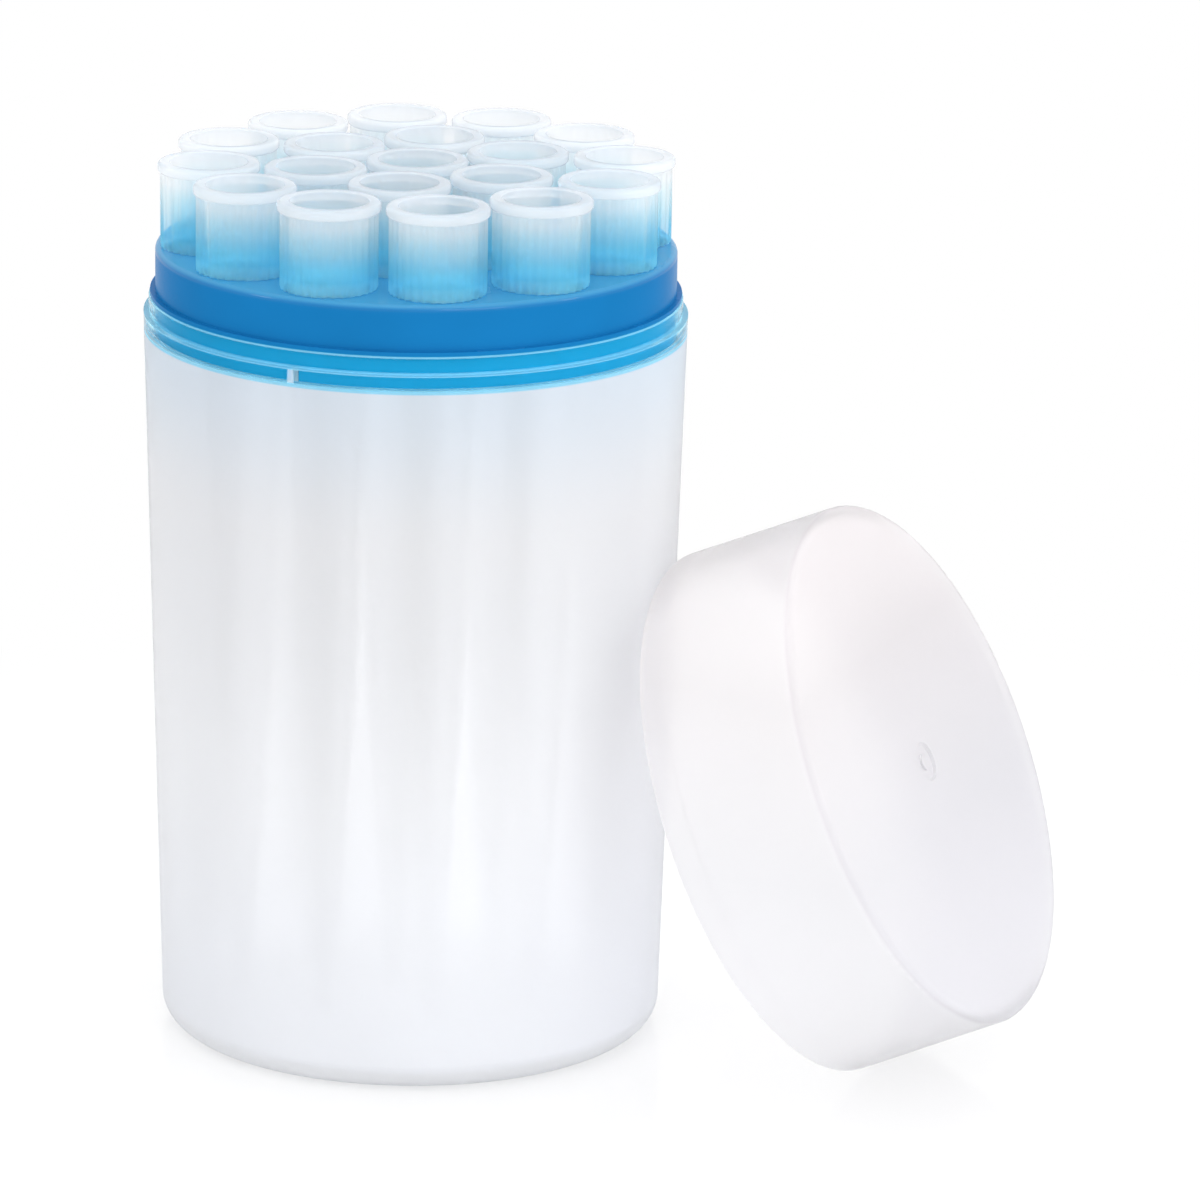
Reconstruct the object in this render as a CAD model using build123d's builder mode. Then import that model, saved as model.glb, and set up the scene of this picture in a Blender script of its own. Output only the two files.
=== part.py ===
from build123d import *

import os
from math import cos, pi, radians, sin, sqrt, tan

# A round jar of large pipette tips. A translucent jar holds a blue rack, the rack holds nineteen
# tips by their collars, and the lid leans on the jar's side. Sizes are in millimetres. The origin
# is at the middle of the jar's underside, +Z is up and the lid stands towards +X.

# ---- tips ----
TIP_LENGTH = 120.0
MOUTH_DIAMETER = 11.2       # fits the nose of a 5 mL pipette
MOUTH_LAND = 4.0            # straight stretch that grips the nose
COLLAR_WALL = 1.4           # collar's wall below the mouth, ribs included
RIM_OVERHANG = 0.4          # how far the smooth rim stands out over the ribs
RIM_HEIGHT = 1.5
RIM_CHAMFER = 0.4
COLLAR_HEIGHT = 12.7        # part of the tip above the rack's plate
COLLAR_STEP = 1.2           # how far the collar stands out over the body, to hang on the plate
RIB_COUNT = 30
RIB_DEPTH = 0.5
BODY_WALL = 0.75
SLIM_LENGTH = 47.3          # slim end, below the knee
KNEE_DIAMETER = 8.4
END_DIAMETER = 2.4
END_WALL = 0.5

# ---- rack ----
TIP_GAP = 1.6               # between neighbouring collars
FIRST_ANGLE = -83.7         # degrees, first tip of the outer ring
OUTER_COUNT = 12
INNER_COUNT = 6
HOLE_FIT = 0.25             # side clearance of a tip's body in its hole
EDGE_MARGIN = 0.66          # plate outside the outer ring's collars
PLATE_THICKNESS = 2.6
PLATE_ROUND = 0.8
BAND_HEIGHT = 7.2           # rack above the jar's lip
BAND_WALL = 1.4
SKIRT_DEPTH = 4.8           # rack below the top of the lip
FLANGE_THICKNESS = 0.6      # flange that hangs the rack on the lip
FLANGE_INSET = 0.2          # from the flange's edge to the lip's outside
NOTCH_WIDTH = 1.0           # slit in the skirt's lower edge
NOTCH_HEIGHT = 2.2
NOTCH_ANGLE = 244.0

# ---- jar ----
RACK_FIT = 0.2              # side clearance between the rack and the jar's mouth
JAR_WALL = 1.5
JAR_DRAFT = 1.5             # degrees a side, narrower towards the base
JAR_BASE = 1.8
JAR_BASE_ROUND = 4.0        # outside radius of the base edge
FLOOR_CLEARANCE = 8.1       # under the tips' ends
LIP_HEIGHT = 2.6            # thin lip above the shoulder that the lid comes down on
LIP_STEP = 0.75             # how far the lip stands in from the shoulder
LIP_ROUND = 0.25

# ---- lid ----
LID_DISC = 1.5              # thickness of the closed end
LID_DRAFT = 1.0             # degrees a side, narrower towards the disc
LID_FLUSH = 0.1             # how far the lid's mouth stands out from the jar's shoulder
LID_FIT = 0.15              # side clearance over the lip
BAND_FIT = 0.15             # side clearance over the rack's band
FLANGE_CLEARANCE = 0.2      # above the rack's flange when the lid is on
TIP_CLEARANCE = 0.5         # above the tips when the lid is on
LID_ROUND = 1.4             # outside radius of the disc's edge
LID_INSIDE_ROUND = 0.4
GATE_DIAMETER = 5.8         # dish round the moulding gate, with the gate's stub in it
GATE_DEPTH = 0.5
GATE_DRAFT = 20.0
STUB_DIAMETER = 2.4
STUB_HEIGHT = 0.35

# ---- how the lid leans ----
LID_TILT = 24.5             # degrees that its axis rises above the floor
LID_FACING = -22.1          # degrees, the way that the disc faces
LID_BEARING = -13.4         # degrees, where the lid stands, seen from the jar's axis
LEAN_GAP = 0.1              # between the lid's rim and the jar's side

# ---- sizes that follow ----
COLLAR_RADIUS = MOUTH_DIAMETER / 2 + COLLAR_WALL
RIM_RADIUS = COLLAR_RADIUS + RIM_OVERHANG
BODY_RADIUS = COLLAR_RADIUS - COLLAR_STEP
HOLE_RADIUS = BODY_RADIUS + HOLE_FIT
TIP_PITCH = 2 * COLLAR_RADIUS + TIP_GAP
OUTER_RING = TIP_PITCH / (2 * sin(pi / OUTER_COUNT))
INNER_RING = TIP_PITCH / (2 * sin(pi / INNER_COUNT))
RACK_RADIUS = OUTER_RING + COLLAR_RADIUS + EDGE_MARGIN
MOUTH_RADIUS = RACK_RADIUS + RACK_FIT
JAR_RADIUS = MOUTH_RADIUS + JAR_WALL
JAR_SLOPE = tan(radians(JAR_DRAFT))
LIP_RADIUS = JAR_RADIUS - LIP_STEP
FLANGE_RADIUS = LIP_RADIUS - FLANGE_INSET
JAR_HEIGHT = JAR_BASE + FLOOR_CLEARANCE + TIP_LENGTH - COLLAR_HEIGHT - BAND_HEIGHT
SHOULDER_Z = JAR_HEIGHT - LIP_HEIGHT
PLATE_Z = JAR_HEIGHT + BAND_HEIGHT
SKIRT_Z = JAR_HEIGHT - SKIRT_DEPTH
LID_RADIUS = JAR_RADIUS + LID_FLUSH
LID_SLOPE = tan(radians(LID_DRAFT))
LID_HEIGHT = LIP_HEIGHT + BAND_HEIGHT + COLLAR_HEIGHT + TIP_CLEARANCE + LID_DISC
LID_STEP_DEPTH = LIP_HEIGHT + FLANGE_THICKNESS + FLANGE_CLEARANCE
LID_INSIDE = RACK_RADIUS + BAND_FIT + (LIP_HEIGHT + BAND_HEIGHT) * LID_SLOPE


def jar_radius_at(height):
    """Outside radius of the jar's tapered wall at a height above the floor."""
    return JAR_RADIUS - (SHOULDER_Z - height) * JAR_SLOPE


def lid_inside_at(depth):
    """Inside radius of the lid's tapered wall, this far in from its mouth."""
    return LID_INSIDE - depth * LID_SLOPE


def ring(count, radius, first):
    """Centres spaced evenly round a circle, from a first angle in degrees."""
    angles = [radians(first + 360 * step / count) for step in range(count)]
    return [(radius * cos(angle), radius * sin(angle)) for angle in angles]


def tip_places():
    """Centres of the rack's holes: outer ring, inner ring half a step round, and the middle."""
    outer = ring(OUTER_COUNT, OUTER_RING, FIRST_ANGLE)
    inner = ring(INNER_COUNT, INNER_RING, FIRST_ANGLE - 180 / OUTER_COUNT)
    return outer + inner + [(0, 0)]


def edges_at(part, height):
    """A part's round edges at a height."""
    return part.edges().filter_by(GeomType.CIRCLE).filter_by_position(
        Axis.Z, height - 0.01, height + 0.01
    )


def save(part, name):
    part.label = name
    export_step(part, f"parts/{name}.step")


def make_jar():
    """Tapered cup with a rounded base edge, a shoulder and a thin lip."""
    with BuildPart() as jar:
        with BuildSketch(Plane.XZ):
            with BuildLine():
                Polyline(
                    (0, 0),
                    (jar_radius_at(0), 0),
                    (JAR_RADIUS, SHOULDER_Z),
                    (LIP_RADIUS, SHOULDER_Z),
                    (LIP_RADIUS, JAR_HEIGHT),
                    (MOUTH_RADIUS, JAR_HEIGHT),
                    (MOUTH_RADIUS, SKIRT_Z),
                    (jar_radius_at(JAR_BASE) - JAR_WALL, JAR_BASE),
                    (0, JAR_BASE),
                    close=True,
                )
            make_face()
        revolve(axis=Axis.Z)
        fillet(edges_at(jar, 0), JAR_BASE_ROUND)
        fillet(edges_at(jar, JAR_BASE), JAR_BASE_ROUND - JAR_WALL)
        fillet(edges_at(jar, JAR_HEIGHT), min(LIP_ROUND, (JAR_WALL - LIP_STEP) / 3))
    return jar.part


def make_rack():
    """Disc with a hole for each tip, hung on the jar's lip by a flange, with a skirt below."""
    with BuildPart() as rack:
        with BuildSketch(Plane.XZ):
            with BuildLine():
                Polyline(
                    (0, PLATE_Z),
                    (RACK_RADIUS, PLATE_Z),
                    (RACK_RADIUS, JAR_HEIGHT + FLANGE_THICKNESS),
                    (FLANGE_RADIUS, JAR_HEIGHT + FLANGE_THICKNESS),
                    (FLANGE_RADIUS, JAR_HEIGHT),
                    (RACK_RADIUS, JAR_HEIGHT),
                    (RACK_RADIUS, SKIRT_Z),
                    (RACK_RADIUS - BAND_WALL, SKIRT_Z),
                    (RACK_RADIUS - BAND_WALL, PLATE_Z - PLATE_THICKNESS),
                    (0, PLATE_Z - PLATE_THICKNESS),
                    close=True,
                )
            make_face()
        revolve(axis=Axis.Z)
        fillet(edges_at(rack, PLATE_Z), PLATE_ROUND)
        with BuildSketch(Plane.XY.offset(PLATE_Z)):
            with Locations(*tip_places()):
                Circle(HOLE_RADIUS)
        extrude(amount=-PLATE_THICKNESS, mode=Mode.SUBTRACT)
        with BuildSketch(Plane.XY.offset(SKIRT_Z)):
            with PolarLocations(RACK_RADIUS, 1, start_angle=NOTCH_ANGLE):
                Rectangle(4 * BAND_WALL, NOTCH_WIDTH)
        extrude(amount=NOTCH_HEIGHT, mode=Mode.SUBTRACT)
    return rack.part


def rib_corners(root, rim):
    """Outline of a ring of pointed ribs, from root to rim and back."""
    step = pi / RIB_COUNT
    return [
        (radius * cos(angle), radius * sin(angle))
        for number in range(RIB_COUNT)
        for radius, angle in ((rim, 2 * number * step), (root, (2 * number + 1) * step))
    ]


def make_tip():
    """Hollow tapered tip in its own frame: the collar stands on z = 0, the body hangs below."""
    root = COLLAR_RADIUS - RIB_DEPTH
    core = root - RIB_DEPTH / 2
    mouth = MOUTH_DIAMETER / 2
    bottom = COLLAR_HEIGHT - TIP_LENGTH
    knee = bottom + SLIM_LENGTH
    ribs_top = COLLAR_HEIGHT - RIM_HEIGHT
    with BuildPart() as tip:
        with BuildSketch(Plane.XZ):
            with BuildLine():
                Polyline(
                    (mouth, COLLAR_HEIGHT),
                    (RIM_RADIUS - RIM_CHAMFER, COLLAR_HEIGHT),
                    (RIM_RADIUS, COLLAR_HEIGHT - RIM_CHAMFER),
                    (RIM_RADIUS, ribs_top),
                    (core, ribs_top),
                    (core, 0),
                    (BODY_RADIUS, 0),
                    (KNEE_DIAMETER / 2, knee),
                    (END_DIAMETER / 2, bottom),
                    (END_DIAMETER / 2 - END_WALL, bottom),
                    (KNEE_DIAMETER / 2 - BODY_WALL, knee),
                    (mouth, COLLAR_HEIGHT - MOUTH_LAND),
                    close=True,
                )
            make_face()
        revolve(axis=Axis.Z)
        with BuildSketch(Plane.XY):
            with BuildLine():
                Polyline(*rib_corners(root, COLLAR_RADIUS), close=True)
            make_face()
            Circle(BODY_RADIUS, mode=Mode.SUBTRACT)
        extrude(amount=ribs_top)
    return tip.part


def make_lid():
    """Shallow cap in its own frame: mouth at z = 0, disc at the top."""
    inner_top = LID_HEIGHT - LID_DISC
    with BuildPart() as lid:
        with BuildSketch(Plane.XZ):
            with BuildLine():
                Polyline(
                    (0, LID_HEIGHT),
                    (LID_RADIUS - LID_HEIGHT * LID_SLOPE, LID_HEIGHT),
                    (LID_RADIUS, 0),
                    (LIP_RADIUS + LID_FIT, 0),
                    (LIP_RADIUS + LID_FIT, LID_STEP_DEPTH),
                    (lid_inside_at(LID_STEP_DEPTH), LID_STEP_DEPTH),
                    (lid_inside_at(inner_top), inner_top),
                    (0, inner_top),
                    close=True,
                )
            make_face()
        revolve(axis=Axis.Z)
        fillet(edges_at(lid, LID_HEIGHT), LID_ROUND)
        fillet(edges_at(lid, inner_top), LID_INSIDE_ROUND)
        with BuildSketch(Plane.XY.offset(LID_HEIGHT)):
            Circle(GATE_DIAMETER / 2)
        extrude(amount=-GATE_DEPTH, mode=Mode.SUBTRACT, taper=GATE_DRAFT)
        with BuildSketch(Plane.XY.offset(LID_HEIGHT - GATE_DEPTH)):
            Circle(STUB_DIAMETER / 2)
        extrude(amount=STUB_HEIGHT)
    return lid.part


def leaning_plane(distance):
    """Plane of the lid's mouth when its rim stands on the floor, this far from the jar's axis."""
    tilt, facing, bearing = radians(LID_TILT), radians(LID_FACING), radians(LID_BEARING)
    outward = (cos(tilt) * cos(facing), cos(tilt) * sin(facing), sin(tilt))
    centre = (distance * cos(bearing), distance * sin(bearing), LID_RADIUS * cos(tilt))
    return Plane(centre, x_dir=(-sin(facing), cos(facing), 0), z_dir=outward)


def gap_to_jar(distance):
    """Least distance from the lid's rim to the jar's side."""
    mouth = leaning_plane(distance)
    rim = [mouth.from_local_coords((x, y, 0)) for x, y in ring(360, LID_RADIUS, 0)]
    return min(sqrt(point.X**2 + point.Y**2) - jar_radius_at(point.Z) for point in rim)


def lean_distance():
    """Distance at which the rim all but touches the jar, found by halving an interval."""
    near, far = JAR_RADIUS, JAR_RADIUS + 2 * LID_RADIUS
    while far - near > 0.001:
        middle = (near + far) / 2
        if gap_to_jar(middle) > LEAN_GAP:
            far = middle
        else:
            near = middle
    return far


os.makedirs("parts", exist_ok=True)
save(make_jar(), "jar")
save(make_rack(), "rack")
save(leaning_plane(lean_distance()).location * make_lid(), "lid")

# Each tip has its own turn, as tips that were dropped in by hand do.
tip = make_tip()
for number, (x, y) in enumerate(tip_places(), start=1):
    placed = Location((x, y, PLATE_Z), (0, 0, 25 * number)) * tip
    save(placed, f"tip_{number:02d}")
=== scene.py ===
"""The looks of a round box of pipette tips: milky jar, blue rack, 19 ribbed tips, leaning lid."""

import math

import bpy
from mathutils import Matrix, Vector


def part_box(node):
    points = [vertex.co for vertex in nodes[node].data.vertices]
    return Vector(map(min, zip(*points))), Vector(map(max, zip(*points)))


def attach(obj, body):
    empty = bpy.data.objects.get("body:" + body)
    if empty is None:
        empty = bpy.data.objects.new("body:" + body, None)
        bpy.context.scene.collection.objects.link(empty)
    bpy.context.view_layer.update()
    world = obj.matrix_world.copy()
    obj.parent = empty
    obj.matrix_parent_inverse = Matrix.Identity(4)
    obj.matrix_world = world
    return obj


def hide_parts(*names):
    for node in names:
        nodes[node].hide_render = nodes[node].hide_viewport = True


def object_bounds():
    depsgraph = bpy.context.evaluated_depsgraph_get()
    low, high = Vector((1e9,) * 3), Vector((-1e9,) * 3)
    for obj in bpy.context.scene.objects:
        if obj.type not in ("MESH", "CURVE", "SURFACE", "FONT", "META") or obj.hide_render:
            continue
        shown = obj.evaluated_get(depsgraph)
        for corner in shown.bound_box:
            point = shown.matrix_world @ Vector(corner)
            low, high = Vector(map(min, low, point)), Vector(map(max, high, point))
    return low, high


# Camera: a long lens, a little above the rack, with the object left of the middle.
LENS = 235.4
SENSOR_WIDTH = 36
CAMERA_PLACE = (0.01013, -1.10623, 0.38007)
CAMERA_TURN = -0.89
CAMERA_DIP = 15.95
CAMERA_ROLL = 0.87

# Light: name, place, size and power of each lamp, and the white all round.
LAMPS = [
    ("top", (0.1, -0.3, 1.2), 0.6, 1.4),
    ("front", (0.55, -1.15, 0.5), 0.7, 3.8),
    ("left", (-1.0, -0.35, 0.5), 0.14, 1.0),
    ("right", (1.0, -0.3, 0.55), 0.14, 1.2),
]
AMBIENT = 1.0

# Floor: its size, how far from the middle its shadow and polish fade to white, and its finish.
FLOOR_SIZE = 8.0
FADE_START, FADE_END = 0.14, 0.22
FLOOR_GREY = (0.5, 0.5, 0.5, 1)
FLOOR_LIFT = 0.53
FLOOR_BOUNCE = (0.85, 0.85, 0.85, 1)
POLISH, POLISH_ROUGH = 0.2, 0.1

# Colours, linear.
JAR_NATURAL = (0.978, 0.983, 1.0)
LID_NATURAL = (0.950, 0.942, 0.952)
RACK_BLUE = (0.008, 0.173, 0.440)
# Painted light: the thin skirt lighter, for the light that comes through it.
SKIRT_LIT_BLUE = (0.035, 0.380, 0.580)
# Painted light: the plate's top lighter, for the light that falls on it between the tips.
PLATE_LIT_BLUE = (0.050, 0.290, 0.540)
# Painted light: the rack's blue glow in the jar's wall just below the rack.
RACK_GLOW_TINT = (0.90, 0.955, 1.0)
# Painted shade: the jar greyer near the floor.
JAR_FOOT_SHADE_TINT = (0.925, 0.934, 0.950)
# Painted light: cyan on the clear wall over the rack's skirt, for the lit blue behind it.
LIP_PAINTED_BLUE = (0.55, 0.90, 1.0)
# Painted highlight: cyan lines along the lip's top, the shoulder and the skirt's lower edge.
EDGE_HIGHLIGHT_TINT = (0.32, 0.78, 1.0)
# Painted shade: a thin darker line round the lid's rounded edge, where the disc meets the wall.
CORNER_SHADE_TINTS = [(0.0, (1, 1, 1)), (0.5, (0.90, 0.885, 0.90)), (0.85, (0.96, 0.955, 0.96))]
# Painted shade: the lid's disc greyer, most at its low side.
DISC_SHADE_TINTS = [(0.0, (0.89, 0.895, 0.91)), (0.3, (0.94, 0.94, 0.95)), (0.7, (1, 1, 1))]
# Painted light and shade on the lid, by height: darker in the middle, lighter at the top and
# bottom.
LID_HEIGHT_SHADE = [
    (0.0, (0.98, 0.985, 0.99)),
    (0.15, (0.96, 0.965, 0.975)),
    (0.45, (0.905, 0.91, 0.92)),
    (0.75, (0.905, 0.90, 0.905)),
    (0.86, (0.91, 0.90, 0.90)),
    (1.0, (1.0, 0.985, 0.98)),
]
RIM_NATURAL = (0.90, 0.92, 0.955)
# Painted shade: the tips' bodies greyed, most at their lower ends, so that they read darker through
# the jar.
TIP_BODY_SHADE = [(0.0, (0.85, 0.86, 0.88)), (1.0, (0.925, 0.93, 0.965))]
# Painted light: the rack's blue on a tip's collar, from the plate up to the rim.
TIP_PAINTED_BLUE = [
    (0.0, (0.24, 0.74, 0.97)),
    (0.08, (0.16, 0.64, 0.90)),
    (0.22, (0.25, 0.71, 0.90)),
    (0.48, (0.56, 0.83, 0.92)),
    (0.72, (0.74, 0.90, 0.955)),
    (0.88, (0.96, 0.97, 0.985)),
]

# Cloud and grain: features per metre, how the cloud stretches, how dark it gets, and the
# height of the bump in metres.
CLOUD, CLOUD_STRETCH, CLOUD_SHADE = 45, (1, 1, 0.35), 0.985
CLOUD_LOW, CLOUD_HIGH = 0.3, 0.7
GRAIN, RIM_GRAIN = 900, 1200
RACK_CLOUD, RACK_GRAIN = 60, 1500
DETAIL, RACK_DETAIL = 0, 2
RACK_DARK, RACK_LIGHT = 0.95, 1.05
GRAIN_DEPTH = 0.00001

# Plastic: share of light that passes, roughness, index, and share of lamp light let through.
# TIP_SOLID and RIM_SOLID are how opaque a tip's thin wall and its rim are.
JAR_CLEAR, JAR_ROUGH, JAR_INDEX, JAR_OPEN = 0.58, 0.38, 1.08, 1.0
FOOT_CLEAR = 0.44
LIP_CLEAR, LIP_ROUGH = 1.0, 0.08
EDGE_CLEAR = 0.5
LID_CLEAR, LID_ROUGH, LID_INDEX, LID_OPEN = 0.62, 0.35, 1.08, 1.0
BODY_CLEAR, STEP_CLEAR, COLLAR_CLEAR = 1.0, 0.15, 0.5
TIP_ROUGH, TIP_INDEX, TIP_OPEN = 0.3, 1.1, 1.0
TIP_SOLID = 0.42
RIM_SOLID, RIM_CLEAR, RIM_ROUGH, RIM_INDEX = 0.75, 0.4, 0.2, 1.2
RACK_ROUGH_LOW, RACK_ROUGH_HIGH = 0.2, 0.28
RACK_INDEX, RACK_GLOSS = 1.49, 0.015
EDGE_GLOSS, EDGE_ROUGH = 0.4, 0.15

# Bands of colour, in metres. A line's number is half its width.
LIP_HEIGHT = 0.0026
SOFT = 0.0002
# These are the painted highlight lines on the jar.
TOP_LINE, STEP_LINE, LOW_LINE = 0.0003, 0.00022, 0.0004
# How far below the rack the painted blue light in the jar fades out.
RACK_GLOW_DEPTH = 0.024
FOOT_SHADE, FOOT_FADE = 0.05, 0.09
# The plate's painted lighter top fades in between these two depths below its face.
PLATE_SIDE, PLATE_FACE = 0.0007, 0.0001
ROUND_EDGE, ROUND_EDGE_HALF = 0.0004, 0.0007
TIP_FADE, COLLAR_FADE = 0.003, 0.006
BODY_START = 0.01

# The lid's lean, in degrees, and its rounded edge, in metres below its face.
LID_TILT, LID_FACING = 24.5, -22.1
LID_CORNER, LID_FACE = 0.0014, 0.0001

# Notch in the rack's skirt.
NOTCH_ANGLE = 244
NOTCH_RADIUS = 0.0387
NOTCH_HEIGHT = 0.0022
NOTCH_INNER, NOTCH_OUTER = 0.0008, 0.0010

# Tips, in metres. Their three roundings come in steps, and the rim's are the profile's first rows.
RIM_HEIGHT = 0.0015
MOUTH_ROUND, RIM_ROUND, CORNER_ROUND = 0.0002, 0.0006, 0.0004
MOUTH_STEPS, RIM_STEPS, CORNER_STEPS = 2, 5, 3
RIM_ROWS = MOUTH_STEPS + RIM_STEPS + CORNER_STEPS + 3
COLLAR_HEIGHT = 0.0127
COLLAR_RADIUS = 0.0070
MOUTH_RADIUS = 0.0056
MOUTH_LAND = 0.0040
RIB_COUNT = 30
RIB_DEPTH = 0.00035
RIB_TOP_DEPTH = 0.00015
RIB_STEPS = 4
BODY_RADIUS = 0.0058
KNEE_HEIGHT = 0.0473
KNEE_RADIUS, KNEE_WALL = 0.0042, 0.00075
END_RADIUS, END_WALL = 0.0012, 0.0005
TIP_TURN = 25
SHARP_ANGLE = 50


def new_material(name):
    """A material with one Principled node, and that node."""
    material = bpy.data.materials.new(name)
    material.use_nodes = True
    return material, material.node_tree.nodes["Principled BSDF"]


def add(material, kind, **inputs):
    """A new node with some of its inputs set or linked."""
    node = material.node_tree.nodes.new(kind)
    for key, value in inputs.items():
        fill(material, node.inputs[key.replace("_", " ")], value)
    return node


def fill(material, socket, value):
    """Sets a socket, or links it when the value is another node's output."""
    if isinstance(value, bpy.types.NodeSocket):
        material.node_tree.links.new(value, socket)
    else:
        socket.default_value = value


def calculate(material, operation, first, second=0.0):
    """A Math node's result."""
    node = material.node_tree.nodes.new("ShaderNodeMath")
    node.operation = operation
    fill(material, node.inputs[0], first)
    fill(material, node.inputs[1], second)
    return node.outputs[0]


def noise(material, scale, detail, stretch=(1, 1, 1)):
    """A noise pattern in the object's own coordinates, in features per metre."""
    place = add(material, "ShaderNodeTexCoord")
    mapping = add(material, "ShaderNodeMapping", Vector=place.outputs["Object"], Scale=stretch)
    place = mapping.outputs["Vector"]
    pattern = add(material, "ShaderNodeTexNoise", Vector=place, Scale=scale, Detail=detail)
    return pattern.outputs["Fac"]


def height(material):
    """Height above the floor, in metres."""
    place = add(material, "ShaderNodeTexCoord")
    axes = add(material, "ShaderNodeSeparateXYZ", Vector=place.outputs["Object"])
    return axes.outputs["Z"]


def spread(material, value, start, end, low, high):
    """Turns a value between start and end into one between low and high."""
    node = add(material, "ShaderNodeMapRange", Value=value)
    node.interpolation_type = "SMOOTHSTEP"
    node.inputs["From Min"].default_value = start
    node.inputs["From Max"].default_value = end
    node.inputs["To Min"].default_value = low
    node.inputs["To Max"].default_value = high
    return node.outputs["Result"]


def band(material, value, middle, half):
    """1 near the middle value, 0 beyond half its width away."""
    away = calculate(material, "ABSOLUTE", calculate(material, "SUBTRACT", value, middle))
    return spread(material, away, half / 2, half, 1, 0)


def ramp(material, value, stops):
    """A colour by a 0..1 value, from (position, colour) stops."""
    node = add(material, "ShaderNodeValToRGB", Fac=value)
    marks = node.color_ramp.elements
    while len(marks) < len(stops):
        marks.new(1.0)
    for mark, (position, colour) in zip(marks, stops):
        mark.position = position
        mark.color = (*colour, 1)
    return node.outputs["Color"]


def blend(material, kind, factor, first, second):
    """Two colours mixed or multiplied."""
    node = material.node_tree.nodes.new("ShaderNodeMix")
    node.data_type = "RGBA"
    node.blend_type = kind
    fill(material, node.inputs[0], factor)
    fill(material, node.inputs[6], first)
    fill(material, node.inputs[7], second)
    return node.outputs[2]


def blend_value(material, factor, first, second):
    """Two values mixed."""
    node = material.node_tree.nodes.new("ShaderNodeMix")
    fill(material, node.inputs[0], factor)
    fill(material, node.inputs[2], first)
    fill(material, node.inputs[3], second)
    return node.outputs[0]


def bump(material, value, depth):
    """A bump from a pattern, depth metres high."""
    node = add(material, "ShaderNodeBump", Height=value, Strength=1.0, Distance=depth)
    return node.outputs["Normal"]


def shade(colour, factor):
    """The colour, darkened or lightened."""
    return tuple(min(1.0, c * factor) for c in colour)


def mix_shaders(material, factor, first, second):
    """The first shader, with a share of the second."""
    node = material.node_tree.nodes.new("ShaderNodeMixShader")
    fill(material, node.inputs[0], factor)
    fill(material, node.inputs[1], first)
    fill(material, node.inputs[2], second)
    return node.outputs[0]


def show(material, surface):
    """Makes a shader the material's surface."""
    fill(material, material.node_tree.nodes["Material Output"].inputs["Surface"], surface)


def let_lamps_through(material, shader, share):
    """Part of the lamps' light passes the plastic, as it does in the milky original."""
    clear = add(material, "ShaderNodeBsdfTransparent")
    path = add(material, "ShaderNodeLightPath")
    part = calculate(material, "MULTIPLY", path.outputs["Is Shadow Ray"], share)
    show(material, mix_shaders(material, part, shader.outputs[0], clear.outputs[0]))


def natural_plastic(name, natural, grain, share):
    """Milky polypropylene without pigment: its cloudy colour, its grain, and its way with light."""
    material, shader = new_material(name)
    cloud = noise(material, CLOUD, DETAIL, CLOUD_STRETCH)
    stops = [(CLOUD_LOW, shade(natural, CLOUD_SHADE)), (CLOUD_HIGH, natural)]
    colour = ramp(material, cloud, stops)
    normal = bump(material, noise(material, grain, DETAIL), GRAIN_DEPTH)
    fill(material, shader.inputs["Normal"], normal)
    let_lamps_through(material, shader, share)
    return material, shader, colour


def notch_here(material, z, top):
    """1 on the jar's wall over the notch in the rack's skirt."""
    place = add(material, "ShaderNodeTexCoord")
    flat = add(material, "ShaderNodeVectorMath", Vector=place.outputs["Object"])
    flat.operation = "MULTIPLY"
    flat.inputs[1].default_value = (1, 1, 0)
    angle = math.radians(NOTCH_ANGLE)
    away = material.node_tree.nodes.new("ShaderNodeVectorMath")
    away.operation = "DISTANCE"
    fill(material, away.inputs[0], flat.outputs["Vector"])
    across = (NOTCH_RADIUS * math.cos(angle), NOTCH_RADIUS * math.sin(angle), 0)
    away.inputs[1].default_value = across
    near = spread(material, away.outputs["Value"], NOTCH_INNER, NOTCH_OUTER, 1, 0)
    return calculate(material, "MULTIPLY", near, spread(material, z, top - SOFT, top, 1, 0))


def skirt_contact(material, z, rack_bottom):
    """1 on the jar's wall where the rack's skirt lies against it, but not over the notch."""
    touch = spread(material, z, rack_bottom - SOFT, rack_bottom + SOFT, 0, 1)
    notch = notch_here(material, z, rack_bottom + NOTCH_HEIGHT)
    return calculate(material, "MULTIPLY", touch, calculate(material, "SUBTRACT", 1.0, notch))


def edge_highlight_mask(material, z, rack_bottom, shoulder, jar_top):
    """1 on the thin lines at the lip's top, at the shoulder and at the skirt's lower edge, where
    highlights are painted.
    """
    top = band(material, z, jar_top, TOP_LINE)
    step = band(material, z, shoulder, STEP_LINE)
    low = band(material, z, rack_bottom - SOFT, LOW_LINE)
    return calculate(material, "MAXIMUM", calculate(material, "MAXIMUM", top, step), low)


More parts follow.
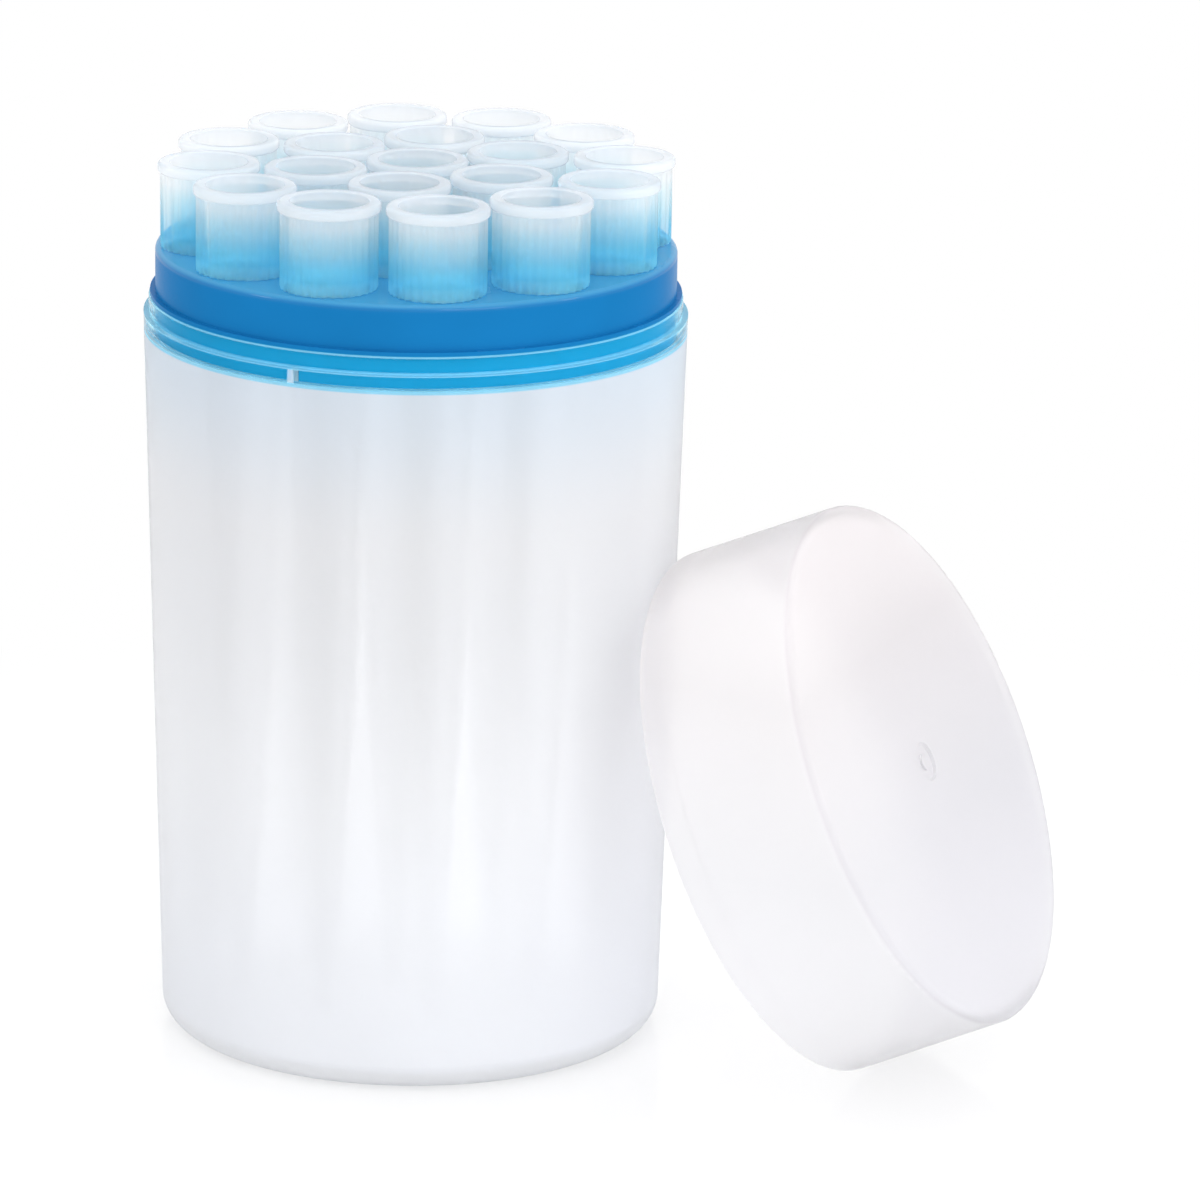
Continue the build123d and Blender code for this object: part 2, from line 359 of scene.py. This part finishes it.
def painted_jar_light(material, z, touch, lines, rack_bottom):
    """The jar's painted light and shade: painted shade towards the floor, painted blue light below
    the rack, painted blue over the skirt, and painted highlight lines.
    """
    # Painted light: the jar's wall turns blue just below the rack.
    rack_glow = spread(material, z, rack_bottom - RACK_GLOW_DEPTH, rack_bottom, 0, 1)
    painted_light_shade = ramp(material, rack_glow, [(0.0, (1, 1, 1)), (1.0, RACK_GLOW_TINT)])
    # Painted shade: greyer towards the floor.
    low = spread(material, z, 0, FOOT_SHADE, 0, 1)
    foot_shade = ramp(material, low, [(0.0, JAR_FOOT_SHADE_TINT), (1.0, (1, 1, 1))])
    painted_light_shade = blend(material, "MULTIPLY", 1.0, painted_light_shade, foot_shade)
    # Painted light: cyan over the skirt.
    painted_light_shade = blend(material, "MIX", touch, painted_light_shade, (*LIP_PAINTED_BLUE, 1))
    # Painted highlight: the thin cyan lines.
    return blend(material, "MIX", lines, painted_light_shade, (*EDGE_HIGHLIGHT_TINT, 1))


def jar_material(rack_bottom, shoulder, jar_top):
    """The jar is milky, but clear over the rack's skirt, apart from thin lines made milkier and
    painted cyan as highlights.
    """
    material, shader, colour = natural_plastic("jar_natural", JAR_NATURAL, GRAIN, JAR_OPEN)
    z = height(material)
    touch = skirt_contact(material, z, rack_bottom)
    lines = edge_highlight_mask(material, z, rack_bottom, shoulder, jar_top)
    painted_light_shade = painted_jar_light(material, z, touch, lines, rack_bottom)
    fill(material, shader.inputs["Base Color"], blend(material, "MULTIPLY", 1.0, colour, painted_light_shade))
    wall = spread(material, z, 0.0, FOOT_FADE, FOOT_CLEAR, JAR_CLEAR)
    clear = blend_value(material, touch, wall, LIP_CLEAR)
    milk = calculate(material, "SUBTRACT", clear, EDGE_CLEAR)
    clear = calculate(material, "SUBTRACT", clear, calculate(material, "MULTIPLY", lines, milk))
    fill(material, shader.inputs["Transmission Weight"], clear)
    fill(material, shader.inputs["Roughness"], spread(material, touch, 0, 1, JAR_ROUGH, LIP_ROUGH))
    shader.inputs["IOR"].default_value = JAR_INDEX
    return material


def lid_axis():
    """The way the lid's disc faces, as it leans."""
    tilt, facing = math.radians(LID_TILT), math.radians(LID_FACING)
    level = math.cos(tilt)
    return Vector((level * math.cos(facing), level * math.sin(facing), math.sin(tilt)))


def lid_material(bottom, top, axis, face):
    """The lid is milky, with painted light and shade by height, painted shade in its disc, more of
    it low down, and a thin painted darker line round its rounded edge.
    """
    material, shader, colour = natural_plastic("lid_natural", LID_NATURAL, GRAIN, LID_OPEN)
    up = spread(material, height(material), bottom, top, 0, 1)
    # Painted light and shade by height.
    painted_light_shade = ramp(material, up, LID_HEIGHT_SHADE)
    place = add(material, "ShaderNodeTexCoord")
    along = material.node_tree.nodes.new("ShaderNodeVectorMath")
    along.operation = "DOT_PRODUCT"
    fill(material, along.inputs[0], place.outputs["Object"])
    along.inputs[1].default_value = axis
    edge = spread(material, along.outputs["Value"], face - LID_CORNER, face - LID_FACE, 0, 1)
    # Painted shade: the darker line round the rounded edge.
    painted_light_shade = blend(material, "MULTIPLY", 1.0, painted_light_shade, ramp(material, edge, CORNER_SHADE_TINTS))
    # Painted shade on the disc, darker low down.
    painted_light_shade = blend(material, "MULTIPLY", edge, painted_light_shade, ramp(material, up, DISC_SHADE_TINTS))
    fill(material, shader.inputs["Base Color"], blend(material, "MULTIPLY", 1.0, colour, painted_light_shade))
    shader.inputs["Transmission Weight"].default_value = LID_CLEAR
    shader.inputs["Roughness"].default_value = LID_ROUGH
    shader.inputs["IOR"].default_value = LID_INDEX
    return material


def tip_material(plate, top):
    """A tip is clear in its thin body and milky in its collar. The collar is painted blue, most
    near the plate, for the rack's light seen through it, and the body is greyed, painted shade.
    """
    material, shader = new_material("tip_natural")
    let_lamps_through(material, shader, TIP_OPEN)
    z = height(material)
    # Painted light: the collar's blue, strongest near the plate.
    painted_blue = ramp(material, spread(material, z, plate, top, 0, 1), TIP_PAINTED_BLUE)
    above = spread(material, z, plate - TIP_FADE, plate, 0, 1)
    # Painted shade: the body greyed, most at its lower end.
    body = ramp(material, spread(material, z, BODY_START, plate, 0, 1), TIP_BODY_SHADE)
    fill(material, shader.inputs["Base Color"], blend(material, "MIX", above, body, painted_blue))
    clear = spread(material, z, plate - TIP_FADE, plate, BODY_CLEAR, STEP_CLEAR)
    more = spread(material, z, plate, plate + COLLAR_FADE, 0, COLLAR_CLEAR - STEP_CLEAR)
    clear = calculate(material, "ADD", clear, more)
    fill(material, shader.inputs["Transmission Weight"], clear)
    shader.inputs["Roughness"].default_value = TIP_ROUGH
    shader.inputs["Alpha"].default_value = TIP_SOLID
    shader.inputs["IOR"].default_value = TIP_INDEX
    return material


def rim_material():
    """A tip's rim is thicker than the rest, so it is whiter."""
    material, shader, colour = natural_plastic("rim_natural", RIM_NATURAL, RIM_GRAIN, TIP_OPEN)
    fill(material, shader.inputs["Base Color"], colour)
    shader.inputs["Transmission Weight"].default_value = RIM_CLEAR
    shader.inputs["Alpha"].default_value = RIM_SOLID
    shader.inputs["Roughness"].default_value = RIM_ROUGH
    shader.inputs["IOR"].default_value = RIM_INDEX
    return material


def rack_colour(material, cloud, jar_top, plate):
    """The rack's blue, with painted light: lighter in the thin skirt, for the light that comes
    through it, and on the plate's top, for the light that falls on it between the tips.
    """
    stops = [(CLOUD_LOW, shade(RACK_BLUE, RACK_DARK)), (CLOUD_HIGH, shade(RACK_BLUE, RACK_LIGHT))]
    colour = ramp(material, cloud, stops)
    # Painted light in the skirt.
    skirt = spread(material, height(material), jar_top - SOFT, jar_top + SOFT, 1, 0)
    colour = blend(material, "MIX", skirt, colour, (*SKIRT_LIT_BLUE, 1))
    # Painted light on the plate's top.
    face = spread(material, height(material), plate - PLATE_SIDE, plate - PLATE_FACE, 0, 1)
    return blend(material, "MIX", face, colour, (*PLATE_LIT_BLUE, 1))


def blue_plastic(jar_top, plate):
    """Pigmented polypropylene, satin, with a glossy rounded top edge."""
    material, shader = new_material("rack_blue")
    cloud = noise(material, RACK_CLOUD, RACK_DETAIL)
    fill(material, shader.inputs["Base Color"], rack_colour(material, cloud, jar_top, plate))
    rough = spread(material, cloud, CLOUD_LOW, CLOUD_HIGH, RACK_ROUGH_LOW, RACK_ROUGH_HIGH)
    fill(material, shader.inputs["Roughness"], rough)
    normal = bump(material, noise(material, RACK_GRAIN, RACK_DETAIL), GRAIN_DEPTH)
    fill(material, shader.inputs["Normal"], normal)
    edge = band(material, height(material), plate - ROUND_EDGE, ROUND_EDGE_HALF)
    gloss = calculate(material, "MULTIPLY", edge, EDGE_GLOSS)
    fill(material, shader.inputs["Coat Weight"], gloss)
    shader.inputs["Coat Roughness"].default_value = EDGE_ROUGH
    shader.inputs["IOR"].default_value = RACK_INDEX
    shader.inputs["Specular IOR Level"].default_value = RACK_GLOSS
    return material


def give(piece, material):
    """The piece's only material."""
    piece.data.materials.clear()
    piece.data.materials.append(material)


def arc(middle, radius, start, end, steps):
    """Points (across, up) round part of a circle, in degrees."""
    turns = [math.radians(start + (end - start) * step / steps) for step in range(steps + 1)]
    return [(middle[0] + radius * math.cos(t), middle[1] + radius * math.sin(t)) for t in turns]


def tip_rows(rim, bottom, top):
    """A tip's profile (radius, height, rib depth), from inside the mouth round the outside."""
    under = top - RIM_HEIGHT
    shelf = top - COLLAR_HEIGHT
    knee = bottom + KNEE_HEIGHT
    mouth = (MOUTH_RADIUS + MOUTH_ROUND, top - MOUTH_ROUND)
    smooth = arc(mouth, MOUTH_ROUND, 180, 90, MOUTH_STEPS)
    smooth += arc((rim - RIM_ROUND, top - RIM_ROUND), RIM_ROUND, 90, 0, RIM_STEPS)
    lower = (rim - CORNER_ROUND, under + CORNER_ROUND)
    smooth += arc(lower, CORNER_ROUND, 0, -90, CORNER_STEPS)
    rows = [(radius, z, 0.0) for radius, z in smooth]
    rows.append((COLLAR_RADIUS, under, RIB_TOP_DEPTH))
    corner = (COLLAR_RADIUS - CORNER_ROUND, shelf + CORNER_ROUND)
    collar = arc(corner, CORNER_ROUND, 0, -90, CORNER_STEPS)
    rows += [(radius, z, RIB_DEPTH) for radius, z in collar]
    outside = [(BODY_RADIUS, shelf), (KNEE_RADIUS, knee), (END_RADIUS, bottom)]
    inside = [(END_RADIUS - END_WALL, bottom), (KNEE_RADIUS - KNEE_WALL, knee)]
    inside.append((MOUTH_RADIUS, top - MOUTH_LAND))
    return rows + [(radius, z, 0.0) for radius, z in outside + inside]


def ring(row, centre, first, count):
    """The points of one row, turned round an upright axis, with its ribs."""
    radius, z, depth = row
    points = []
    for step in range(count):
        angle = math.radians(first) + 2 * math.pi * step / count
        away = radius - depth * (1 - math.cos(2 * math.pi * step / RIB_STEPS)) / 2
        x = centre[0] + away * math.cos(angle)
        y = centre[1] + away * math.sin(angle)
        points.append((x, y, z))
    return points


def quads(rows, count):
    """The faces between neighbouring rings, the last and the first among them."""
    faces = []
    for row in range(rows):
        here = row * count
        below = (row + 1) % rows * count
        for step in range(count):
            beside = (step + 1) % count
            faces.append((here + step, below + step, below + beside, here + beside))
    return faces


def turned(name, rows, centre, first, rim_rows):
    """A closed mesh turned round an upright axis, with its rim marked for the second material."""
    count = RIB_COUNT * RIB_STEPS
    points = [point for row in rows for point in ring(row, centre, first, count)]
    faces = quads(len(rows), count)
    mesh = bpy.data.meshes.new(name)
    mesh.from_pydata(points, [], faces)
    marks = [1 if number < rim_rows * count else 0 for number in range(len(faces))]
    mesh.polygons.foreach_set("material_index", marks)
    mesh.shade_smooth()
    mesh.set_sharp_from_angle(angle=math.radians(SHARP_ANGLE))
    piece = bpy.data.objects.new(name, mesh)
    bpy.context.scene.collection.objects.link(piece)
    return piece


def make_tip(node, number, material, rim_plastic):
    """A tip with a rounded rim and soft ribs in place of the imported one."""
    low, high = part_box(node)
    centre = (low + high) / 2
    rows = tip_rows((high.x - low.x) / 2, low.z, high.z)
    piece = turned(f"ribbed_{node}", rows, centre, TIP_TURN * number, RIM_ROWS)
    piece.data.materials.append(material)
    piece.data.materials.append(rim_plastic)
    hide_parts(node)
    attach(piece, "root")


def seen_ray(material):
    """1 for camera, mirror and glass rays, 0 for the light that falls on matt surfaces."""
    path = add(material, "ShaderNodeLightPath")
    total = path.outputs["Is Camera Ray"]
    for kind in ("Is Glossy Ray", "Is Transmission Ray"):
        total = calculate(material, "MAXIMUM", total, path.outputs[kind])
    return total


def make_world():
    """White all round, which lights the object softly and shows in its gloss."""
    world = bpy.data.worlds.new("studio")
    bpy.context.scene.world = world
    world.use_nodes = True
    background = world.node_tree.nodes["Background"]
    background.inputs["Color"].default_value = (1, 1, 1, 1)
    background.inputs["Strength"].default_value = AMBIENT


def away_from_middle(material):
    """0 near the object and 1 far from it."""
    place = add(material, "ShaderNodeTexCoord")
    distance = add(material, "ShaderNodeVectorMath", Vector=place.outputs["Object"])
    distance.operation = "LENGTH"
    return spread(material, distance.outputs["Value"], FADE_START, FADE_END, 0, 1)


def near_floor(material):
    """The floor that keeps the shadow, lifted to white where the light is full, with a polish."""
    matt = add(material, "ShaderNodeBsdfDiffuse", Color=FLOOR_GREY)
    lift = add(material, "ShaderNodeEmission", Strength=FLOOR_LIFT)
    both = material.node_tree.nodes.new("ShaderNodeAddShader")
    fill(material, both.inputs[0], matt.outputs[0])
    fill(material, both.inputs[1], lift.outputs[0])
    polish = add(material, "ShaderNodeBsdfGlossy", Roughness=POLISH_ROUGH)
    return mix_shaders(material, POLISH, both.outputs[0], polish.outputs[0])


def floor_material():
    """A white floor that keeps the shadow near the object and fades to plain white."""
    material, shader = new_material("floor_white")
    material.node_tree.nodes.remove(shader)
    white = add(material, "ShaderNodeEmission", Strength=1.0)
    plain = add(material, "ShaderNodeBsdfDiffuse", Color=FLOOR_BOUNCE)
    far = away_from_middle(material)
    floor = mix_shaders(material, far, near_floor(material), white.outputs[0])
    show(material, mix_shaders(material, seen_ray(material), plain.outputs[0], floor))
    return material


def make_floor(middle):
    """A wide floor under the object."""
    bpy.ops.mesh.primitive_plane_add(size=FLOOR_SIZE, location=(middle.x, middle.y, 0))
    floor = bpy.context.object
    floor.name = "floor"
    floor.data.materials.append(floor_material())


def add_lamp(name, place, size, power, aim):
    """A soft square lamp that looks at a point."""
    light = bpy.data.lights.new(name, "AREA")
    light.size = size
    light.energy = power
    lamp = bpy.data.objects.new(name, light)
    bpy.context.scene.collection.objects.link(lamp)
    lamp.location = place
    lamp.rotation_euler = (aim - Vector(place)).to_track_quat("-Z", "Y").to_euler()


def make_camera():
    """The camera, as the photograph was taken."""
    data = bpy.data.cameras.new("camera")
    data.lens = LENS
    data.sensor_width = SENSOR_WIDTH
    camera = bpy.data.objects.new("camera", data)
    bpy.context.scene.collection.objects.link(camera)
    turn = Matrix.Rotation(math.radians(CAMERA_TURN), 4, "Z")
    dip = Matrix.Rotation(math.radians(90 - CAMERA_DIP), 4, "X")
    roll = Matrix.Rotation(math.radians(CAMERA_ROLL), 4, "Z")
    camera.matrix_world = Matrix.Translation(CAMERA_PLACE) @ turn @ dip @ roll
    bpy.context.scene.camera = camera


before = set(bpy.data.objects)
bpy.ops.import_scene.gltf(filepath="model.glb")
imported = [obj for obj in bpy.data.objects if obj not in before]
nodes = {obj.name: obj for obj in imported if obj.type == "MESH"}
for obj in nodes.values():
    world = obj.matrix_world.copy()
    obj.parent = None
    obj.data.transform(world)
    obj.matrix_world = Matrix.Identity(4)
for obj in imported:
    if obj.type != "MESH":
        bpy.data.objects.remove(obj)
cad_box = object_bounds()
middle = (cad_box[0] + cad_box[1]) / 2

bpy.context.scene.view_settings.view_transform = "Standard"
make_camera()
make_world()
for name, place, size, power in LAMPS:
    add_lamp(name, place, size, power, middle)
make_floor(middle)

jar_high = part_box("jar")[1]
rack_low, rack_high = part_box("rack")
lid_low, lid_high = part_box("lid")
tip_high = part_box("tip_01")[1]
give(nodes["jar"], jar_material(rack_low.z, jar_high.z - LIP_HEIGHT, jar_high.z))
axis = lid_axis()
face = max(point.co.dot(axis) for point in nodes["lid"].data.vertices)
give(nodes["lid"], lid_material(lid_low.z, lid_high.z, axis, face))
give(nodes["rack"], blue_plastic(jar_high.z, rack_high.z))
tip_plastic = tip_material(rack_high.z, tip_high.z)
rim_plastic = rim_material()
tips = sorted(name for name in nodes if name.startswith("tip_"))
for number, name in enumerate(tips, start=1):
    give(nodes[name], tip_plastic)
    make_tip(name, number, tip_plastic, rim_plastic)
